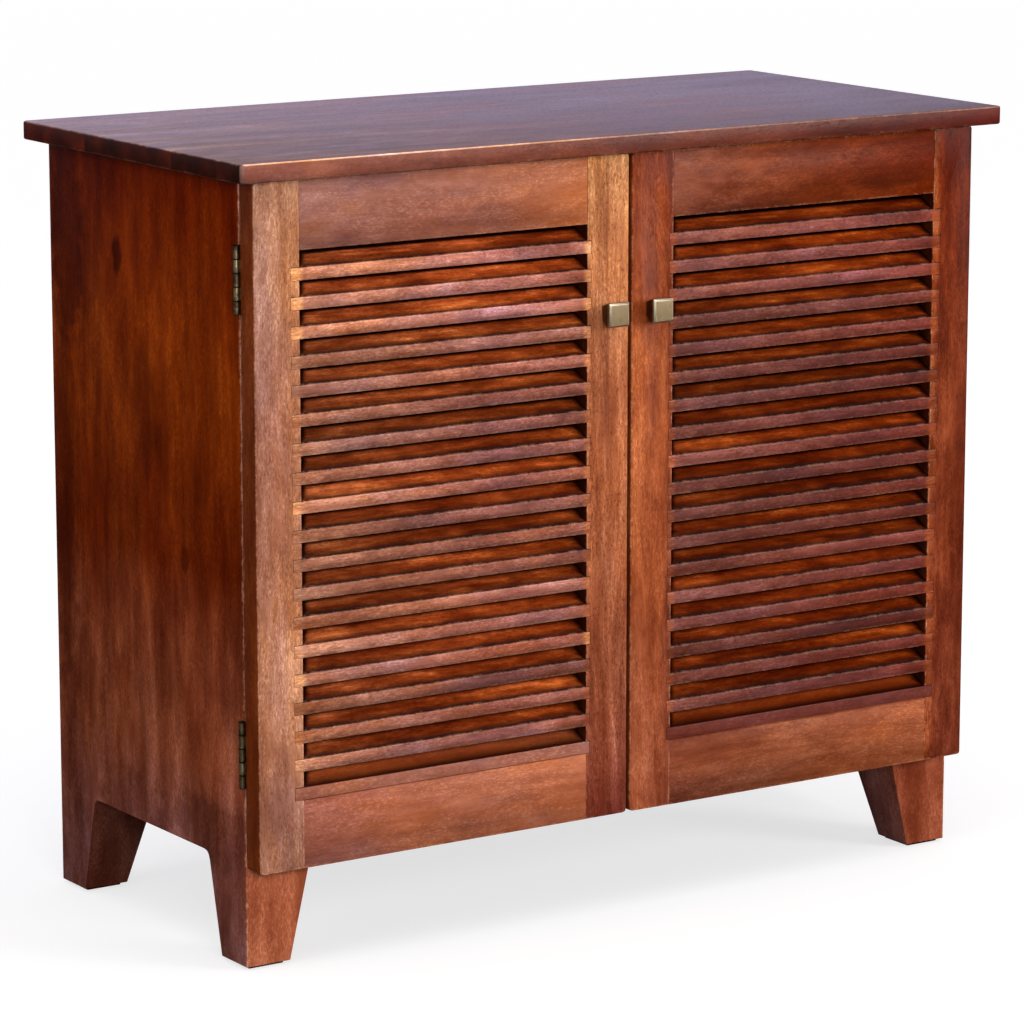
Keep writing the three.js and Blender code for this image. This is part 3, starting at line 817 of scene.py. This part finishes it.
def knob_highlight_and_shade(graph, colour, place, knob):
    """Painted highlights on a knob's front arrises, and painted shade on its sides and neck."""
    centre, half = board_box(knob)
    x, y, z = graph.split(place)
    from_centre_x = graph.math("ABSOLUTE", graph.minus(x, centre.x))
    from_centre_z = graph.math("ABSOLUTE", graph.minus(z, centre.z))
    from_edge = graph.minus(half[0], graph.math("MAXIMUM", from_centre_x, from_centre_z))
    inward = graph.step(from_edge, 0.0, 0.0006)
    arris = graph.times(inward, graph.step(from_edge, 0.0024, 0.0013))
    colour = graph.mix(arris, colour, linear(*KNOB_ARRIS_HIGHLIGHT))
    front = centre.y - half[1]
    behind = graph.step(y, front + KNOB_FRONT_DEPTH, front + KNOB_FRONT_DEPTH + 0.002)
    return graph.mix(behind, colour, linear(*KNOB_SIDE_SHADE))


def knuckle_joints(graph, place, barrel):
    """1 in the thin gaps between a hinge's five knuckles."""
    axis_x, centre_z, radius = barrel
    x, _, z = graph.split(place)
    from_axis = graph.math("ABSOLUTE", graph.minus(x, axis_x))
    on_barrel = graph.step(from_axis, radius + 0.0006, radius + 0.0002)
    from_centre = graph.minus(z, centre_z)
    knuckle = graph.math("DIVIDE", from_centre, KNUCKLE_HEIGHT)
    from_joint = graph.math("ABSOLUTE", graph.minus(graph.math("FRACT", knuckle), 0.5))
    return graph.times(graph.step(from_joint, 0.07, 0.03), on_barrel)


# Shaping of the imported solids: their meshes stay as they are, and modifiers finish the arrises

SHARP_ANGLE = math.radians(40)
KNOB_SHARP_ANGLE = math.radians(20)
BOARD_BEVEL = 0.0007
KNOB_BEVEL = 0.0004


def clean_normals_group(sharp_angle):
    """Drops the imported normals, and shades smoothly up to the sharp angle."""
    group = bpy.data.node_groups.new("clean_normals", "GeometryNodeTree")
    for way in ("INPUT", "OUTPUT"):
        group.interface.new_socket("Geometry", in_out=way, socket_type="NodeSocketGeometry")
    graph = Graph(group)
    given = graph.node("NodeGroupInput").outputs[0]
    angle = graph.node("GeometryNodeInputMeshEdgeAngle").outputs["Unsigned Angle"]
    sharp = graph.node(
        "FunctionNodeCompare", {0: angle, 1: sharp_angle}, operation="GREATER_THAN"
    ).outputs[0]
    inputs = {"Mesh": given, "Remove Custom": True, "Edge Sharpness": sharp}
    smooth = graph.node("GeometryNodeSetMeshNormal", inputs, mode="SHARPNESS")
    graph.node("NodeGroupOutput", {0: smooth.outputs[0]})
    return group


CLEAN_NORMALS = {angle: clean_normals_group(angle) for angle in (SHARP_ANGLE, KNOB_SHARP_ANGLE)}


def finish_arrises(name, bevel_width=0, sharp_angle=SHARP_ANGLE):
    solid = nodes[name]
    weld = solid.modifiers.new("weld", "WELD")
    weld.merge_threshold = 1e-5
    if bevel_width > 0:
        bevel = solid.modifiers.new("bevel", "BEVEL")
        bevel.width = bevel_width
        bevel.segments = 2
        bevel.limit_method = "ANGLE"
        bevel.angle_limit = sharp_angle
        bevel.miter_outer = "MITER_ARC"
    normals = solid.modifiers.new("normals", "NODES")
    normals.node_group = CLEAN_NORMALS[sharp_angle]


# Small hardware that only the scene has: screws, bolts, washers, plates and the catch

BOLT_RECESS = 0.55
HINGE_PIN_Y = -0.166
HINGE_LEAF_FACE = 0.0002
HINGE_SCREW_PLACES = ((0.006, -0.022), (0.0098, 0.0), (0.006, 0.022))
HINGE_SCREW_RADIUS = 0.0026
HINGE_SCREW_RISE = 0.00012
BOLT_HEAD_RADIUS = 0.004
BOLT_HEAD_RISE = 0.0024
WASHER_RADIUS = 0.0065
WASHER_THICKNESS = 0.0009
STRIKE_PLATE = (0.012, 0.0012, 0.022)
STRIKE_PLATE_Z = 0.727
STRIKE_SCREW_RISE = 0.005
SMALL_SCREW_RADIUS = 0.0015
CATCH_X = 0.0255
CATCH_FRONT_Y = -0.1653
CATCH_BASE = (0.082, 0.0015, 0.03)
CATCH_HOUSING = (0.076, 0.012, 0.0115)
CATCH_POLE = (0.014, 0.0003, 0.0022)


def seat(origin, facing):
    """The place of a small part: its own X stays along X, and its own Z looks in a direction."""
    outward = Vector(facing)
    right = Vector((1, 0, 0))
    axes = Matrix((right, outward.cross(right), outward)).transposed()
    return Matrix.Translation(origin) @ axes.to_4x4()


def new_piece(name, shape, materials, body):
    """Makes a small piece and ties it to a body of the model."""
    piece = mesh_object(name, shape, materials)
    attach(piece, body)


def circle(radius, height, count=24, middle=(0.0, 0.0)):
    angles = [2 * math.pi * i / count for i in range(count)]
    return [
        (middle[0] + radius * math.cos(a), middle[1] + radius * math.sin(a), height)
        for a in angles
    ]


def cross_outline(reach, half_width, height, angle):
    """The outline of a cross recess, turned by an angle."""
    quarter = ((reach, -half_width), (reach, half_width), (half_width, half_width))
    points = []
    for turn in range(4):
        turned = angle + math.pi / 2 * turn
        cosine, sine = math.cos(turned), math.sin(turned)
        points += [(x * cosine - y * sine, x * sine + y * cosine, height) for x, y in quarter]
    return points


def rounded(width, height, corner, inset, rise, steps=5):
    """The outline of a rectangle with rounded corners, drawn in by an inset."""
    points = []
    for quarter, (side_x, side_y) in enumerate(((1, 1), (-1, 1), (-1, -1), (1, -1))):
        middle_x = side_x * (width / 2 - corner)
        middle_y = side_y * (height / 2 - corner)
        for i in range(steps + 1):
            angle = math.pi / 2 * (quarter + i / steps)
            x = middle_x + (corner - inset) * math.cos(angle)
            y = middle_y + (corner - inset) * math.sin(angle)
            points.append((x, y, rise))
    return points


def add_loop(shape, points, place):
    return [shape.verts.new(place @ Vector(point)) for point in points]


def bridge(shape, lower, upper):
    """Joins two loops with a band of faces, and gives the faces. A loop can be a single point."""
    faces = []
    for i in range(max(len(lower), len(upper))):
        turned = ((lower, i), (lower, i + 1), (upper, i + 1), (upper, i))
        corners = [loop[k % len(loop)] for loop, k in turned]
        faces.append(shape.faces.new(list(dict.fromkeys(corners))))
    return faces


def loft(shape, outlines, place):
    """A loop for each outline, with bands of faces between them."""
    loops = [add_loop(shape, outline, place) for outline in outlines]
    for lower, upper in zip(loops, loops[1:]):
        bridge(shape, lower, upper)
    return loops


def loop_edges(shape, loop):
    pairs = zip(loop, loop[1:] + loop[:1])
    return [shape.edges.get(pair) or shape.edges.new(pair) for pair in pairs]


def add_screw_head(shape, place, radius, rise, recess_depth, angle):
    """A screw head with an eased rim and a cross recess, whose walls take the second material: a
    dark metal that paints the shadow in the recess.
    """
    rim = ((0.94, 0.0), (1.0, 0.2), (1.0, 0.45), (0.94, 0.8), (0.84, 1.0))
    loops = loft(shape, [circle(radius * wide, rise * high) for wide, high in rim], place)
    shape.faces.new(loops[0])
    mouth_outline = cross_outline(radius * 0.62, radius * 0.14, rise, angle)
    floor_outline = cross_outline(radius * 0.45, radius * 0.1, rise - recess_depth, angle)
    mouth = add_loop(shape, mouth_outline, place)
    floor = add_loop(shape, floor_outline, place)
    recess = bridge(shape, floor, mouth)
    recess.append(shape.faces.new(floor))
    for face in recess:
        face.material_index = 1
    edges = loop_edges(shape, loops[-1]) + loop_edges(shape, mouth)
    bmesh.ops.triangle_fill(shape, edges=edges, use_beauty=True)


def add_washer(shape, place, radius, thickness, hole):
    """A flat ring with eased rims."""
    profile = (
        (hole, 0.0), (radius, 0.0), (radius, thickness * 0.6), (radius * 0.95, thickness),
        (hole * 1.1, thickness), (hole, thickness * 0.7),
    )
    loops = loft(shape, [circle(wide, high) for wide, high in profile], place)
    bridge(shape, loops[-1], loops[0])


def add_plate(shape, place, size, corner, holes=()):
    """A plate with rounded corners and an eased face. Each hole is a countersunk dimple."""
    width, thickness, height = size
    easing = min(corner, thickness) * 0.35
    rims = ((0.0, 0.0), (0.0, thickness - easing), (easing, thickness))
    outlines = [rounded(width, height, corner, inset, rise) for inset, rise in rims]
    loops = loft(shape, outlines, place)
    shape.faces.new(loops[0])
    edges = loop_edges(shape, loops[-1])
    for x, y, radius in holes:
        mouth = add_loop(shape, circle(radius, thickness, middle=(x, y)), place)
        floor = add_loop(shape, circle(radius * 0.6, thickness * 0.4, middle=(x, y)), place)
        bridge(shape, floor, mouth)
        shape.faces.new(floor)
        edges += loop_edges(shape, mouth)
    bmesh.ops.triangle_fill(shape, edges=edges, use_beauty=True)


def leaf_screws(leaf, facing, body, materials):
    """Three screws in the face of one hinge leaf that shows when its door is open."""
    low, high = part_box(leaf)
    free_edge, _ = sorted((low.x, high.x), key=abs)
    face = HINGE_PIN_Y + facing * HINGE_LEAF_FACE
    shape = bmesh.new()
    for number, (inward, height) in enumerate(HINGE_SCREW_PLACES):
        x = free_edge + math.copysign(inward, free_edge)
        place = seat((x, face, (low.z + high.z) / 2 + height), (0, facing, 0))
        depth = HINGE_SCREW_RISE * 0.8
        add_screw_head(shape, place, HINGE_SCREW_RADIUS, HINGE_SCREW_RISE, depth, 0.4 + number)
    new_piece(f"{leaf}_screws", shape, materials, body)


def knob_bolt(hand, materials):
    """The bolt head and washer that hold a knob from behind the door."""
    knob, _ = board_box(f"{hand}_knob")
    _, stile_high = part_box(f"{hand}_door_meeting_stile")
    shape = bmesh.new()
    washer_place = seat((knob.x, stile_high.y, knob.z), (0, 1, 0))
    add_washer(shape, washer_place, WASHER_RADIUS, WASHER_THICKNESS, BOLT_HEAD_RADIUS * 0.7)
    head_place = seat((knob.x, stile_high.y + WASHER_THICKNESS, knob.z), (0, 1, 0))
    depth = BOLT_HEAD_RISE * BOLT_RECESS
    add_screw_head(shape, head_place, BOLT_HEAD_RADIUS, BOLT_HEAD_RISE, depth, 0.2)
    new_piece(f"{hand}_knob_bolt", shape, materials, f"{hand}_door")


def strike_plate(hand, side, materials):
    """The steel plate on the back of a door that the catch holds."""
    _, stile_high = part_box(f"{hand}_door_meeting_stile")
    thickness = STRIKE_PLATE[1]
    place = seat((side * CATCH_X, stile_high.y, STRIKE_PLATE_Z), (0, 1, 0))
    shape = bmesh.new()
    add_plate(shape, place, STRIKE_PLATE, 0.002, [(0.0, STRIKE_SCREW_RISE, 0.0026)])
    screw_place = place @ Matrix.Translation((0.0, STRIKE_SCREW_RISE, thickness * 0.4))
    add_screw_head(
        shape, screw_place, SMALL_SCREW_RADIUS, thickness * 0.4, thickness * 0.3, 0.6
    )
    new_piece(f"{hand}_strike_plate", shape, materials, f"{hand}_door")


def door_catch(materials):
    """A double magnetic catch under the tabletop: base, housing, and two poles for each door."""
    low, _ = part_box("tabletop")
    _, base_thickness, base_depth = CATCH_BASE
    _, housing_depth, housing_height = CATCH_HOUSING
    middle_z = low.z - base_thickness - housing_height / 2
    shape = bmesh.new()
    base_place = seat((0, CATCH_FRONT_Y + base_depth / 2, low.z), (0, 0, -1))
    holes = [(side * 0.03, -0.008, 0.0022) for side in (-1, 1)]
    add_plate(shape, base_place, CATCH_BASE, 0.003, holes)
    for x, y, _ in holes:
        screw_place = base_place @ Matrix.Translation((x, y, base_thickness * 0.4))
        rise = base_thickness * 0.6
        add_screw_head(shape, screw_place, SMALL_SCREW_RADIUS, rise, 0.0005, x * 40)
    housing_place = seat((0, CATCH_FRONT_Y + housing_depth, middle_z), (0, -1, 0))
    add_plate(shape, housing_place, CATCH_HOUSING, 0.0018)
    new_piece("catch_housing", shape, materials, "carcass")
    poles = bmesh.new()
    for side in (-1, 1):
        for rise in (-0.0032, 0.0032):
            place = seat((side * CATCH_X, CATCH_FRONT_Y, middle_z + rise), (0, -1, 0))
            add_plate(poles, place, CATCH_POLE, 0.0005)
    new_piece("catch_poles", poles, materials, "carcass")


# Stage, lights and camera

FLOOR_RADIUS = 30
CURVE_RADIUS = 20
STAGE_SIDES = 64


def look_at(made, place, target):
    made.location = place
    made.rotation_euler = (target - place).to_track_quat("-Z", "Y").to_euler()


def camera():
    azimuth = math.radians(CAMERA_AZIMUTH)
    elevation = math.radians(CAMERA_ELEVATION)
    back = Vector((
        math.sin(azimuth) * math.cos(elevation),
        -math.cos(azimuth) * math.cos(elevation),
        math.sin(elevation),
    ))
    data = bpy.data.cameras.new("camera")
    data.lens = CAMERA_LENS
    data.sensor_width = SENSOR_WIDTH
    data.clip_end = 300
    made = new_object("camera", data)
    look_at(made, CAMERA_TARGET + CAMERA_DISTANCE * back, CAMERA_TARGET)
    bpy.context.scene.camera = made


def area_light(name, place, target, size, power, colour):
    data = bpy.data.lights.new(name, "AREA")
    data.shape = "RECTANGLE"
    data.size, data.size_y = size
    data.energy = power
    data.color = colour
    look_at(new_object(name, data), Vector(place), Vector(target))


def stage_profile():
    """The stage's section from its middle outwards: radius and height, in metres."""
    profile = [(0, 0), (4, 0), (12, 0), (FLOOR_RADIUS, 0)]
    for degrees in range(10, 91, 10):
        angle = math.radians(degrees)
        out, up = CURVE_RADIUS * math.sin(angle), CURVE_RADIUS * (1 - math.cos(angle))
        profile.append((FLOOR_RADIUS + out, up))
    return profile + [(50, 40), (40, 60), (0, 70)]


def stage():
    """A wide pale floor whose far rim curves up all round into a bright wall."""
    shape = bmesh.new()
    loft(shape, [
        circle(radius, height, STAGE_SIDES if radius else 1) for radius, height in stage_profile()
    ], Matrix())
    floor = mesh_object("floor", shape, (floor_material(), wall_material()))
    for face in floor.data.polygons:
        face.material_index = int(face.center.z > 0)
    floor.visible_glossy = False
    floor.visible_diffuse = False


FLOOR_DIFFUSE = (0.4, 0.4, 0.4, 1)
FLOOR_GLOW = 0.843
FLOOR_GLOW_DROP = 0.222
LIT_MIDDLE = (-0.2, -1.2, 0.0)
LIT_REACH = 2.4
WALL_GLOW = 0.996
WHITE = (1, 1, 1, 1)


def floor_material():
    """It glows less where the lamps light it, so that it is equally pale near and far."""
    material, graph = new_material("pale_floor")
    diffuse = graph.node("ShaderNodeBsdfDiffuse", {"Color": FLOOR_DIFFUSE})
    place = graph.place()
    distance = graph.vector("LENGTH", graph.vector("SUBTRACT", place, LIT_MIDDLE))
    reaches = graph.math("DIVIDE", distance, LIT_REACH)
    falloff = graph.sum(graph.times(reaches, reaches), 1.0)
    strength = graph.minus(FLOOR_GLOW, graph.math("DIVIDE", FLOOR_GLOW_DROP, falloff))
    glow = graph.node("ShaderNodeEmission", {"Color": WHITE, "Strength": strength})
    graph.surface(graph.node("ShaderNodeAddShader", {0: diffuse.outputs[0], 1: glow.outputs[0]}))
    return material


def wall_material():
    material, graph = new_material("bright_wall")
    graph.surface(graph.node("ShaderNodeEmission", {"Color": WHITE, "Strength": WALL_GLOW}))
    return material


def studio_world():
    """Soft light from above, and a little from below."""
    world = bpy.data.worlds.new("studio")
    world.use_nodes = True
    world.node_tree.nodes.clear()
    graph = Graph(world.node_tree)
    direction = graph.node("ShaderNodeTexCoord").outputs["Generated"]
    up = graph.split(direction)[2]
    above = graph.step(up, -0.05, 0.1)
    colour = graph.mix(above, (0.05, 0.045, 0.04, 1), (0.42, 0.42, 0.46, 1))
    background = graph.node("ShaderNodeBackground", {"Color": colour, "Strength": 1.0})
    graph.node("ShaderNodeOutputWorld", {"Surface": background.outputs[0]})
    bpy.context.scene.world = world


# Each light's place, target, width and height, power in watts and colour
LIGHTS = {
    "key": ((2.6, -3.3, 1.35), (0, 0, 0.4), (1.3, 1.0), 92, (1.0, 0.96, 0.91)),
    "fill": ((-1.8, -3.5, 1.2), (0, 0, 0.4), (1.6, 1.2), 52, (1.0, 0.97, 0.93)),
    "side": ((-3.4, -0.4, 1.7), (0, 0, 0.4), (1.6, 1.6), 22, (1.0, 0.95, 0.9)),
    "overhead": ((-0.2, -0.7, 3.2), (0, -0.1, 0.4), (3.0, 2.4), 44, (1.0, 0.98, 0.96)),
    "rim": ((1.3, 3.6, 1.3), (0, 0, 0.7), (4.0, 1.8), 29, (0.68, 0.58, 1.0)),
}


# The scene

def dress_boards():
    for name, board in BOARDS.items():
        dress(name, board_material(name, **board))
        finish_arrises(name, BOARD_BEVEL)
    dress("tabletop", tabletop_material())
    finish_arrises("tabletop")
    for hand in ("left", "right"):
        louvres = louvre_material(hand)
        for number in range(1, SLAT_COUNT + 1):
            name = f"{hand}_door_slat_{number:02d}"
            dress(name, louvres)
            finish_arrises(name)


def dress_brass():
    screw_brass = brass_material("screw_brass", (196, 176, 140), (150, 130, 98), (0.7, 0.5, 0.1))
    recess = brass_material("recess_shadow", (40, 32, 24), (24, 18, 14), (2.2, 0.4, 0.9), 0.7)
    for hand, side in (("left", -1), ("right", 1)):
        knob = f"{hand}_knob"
        dress(knob, brass_material(
            f"{knob}_brass", (164, 144, 112), (132, 112, 80), (0.3, 0.1, 0.7), 0.32, 0.3, knob=knob
        ))
        finish_arrises(knob, KNOB_BEVEL, KNOB_SHARP_ANGLE)
        knob_bolt(hand, [screw_brass, recess])
        for level in ("upper", "lower"):
            hinge = f"{hand}_{level}_hinge"
            centre, half = board_box(f"{hinge}_frame_leaf")
            barrel = (centre.x + side * (half.x - half.y), centre.z, half.y)
            # One brass for both leaves: the door leaf's lighter tones paint highlights on its
            # knuckles.
            parts = (
                ("frame_leaf", "carcass", -1, (140, 124, 94), (72, 60, 46)),
                ("door_leaf", f"{hand}_door", 1, (176, 164, 128), (104, 92, 68)),
            )
            for part, body, facing, bright, dark in parts:
                leaf = f"{hinge}_{part}"
                material = brass_material(
                    f"{leaf}_brass", bright, dark, (1.3, 2.1, 0.2), 0.36, 0.5, barrel
                )
                dress(leaf, material)
                finish_arrises(leaf)
                leaf_screws(leaf, facing, body, [screw_brass, recess])


def fit_catches():
    steel = brass_material("steel", (150, 150, 148), (96, 94, 92), (5.1, 0.8, 0.3), 0.4, 0.3)
    # Dark steel in the screws' recesses: a painted shadow.
    recess = brass_material("steel_recess_shadow", (34, 33, 32), (20, 20, 20), (4.1, 0.2, 0.6), 0.7)
    for hand, side in (("left", -1), ("right", 1)):
        strike_plate(hand, side, [steel, recess])
    door_catch([steel, recess])


dress_boards()
dress_brass()
fit_catches()
stage()
studio_world()
for light_name, light in LIGHTS.items():
    area_light(light_name, *light)
camera()
bpy.context.scene.view_settings.view_transform = "Standard"
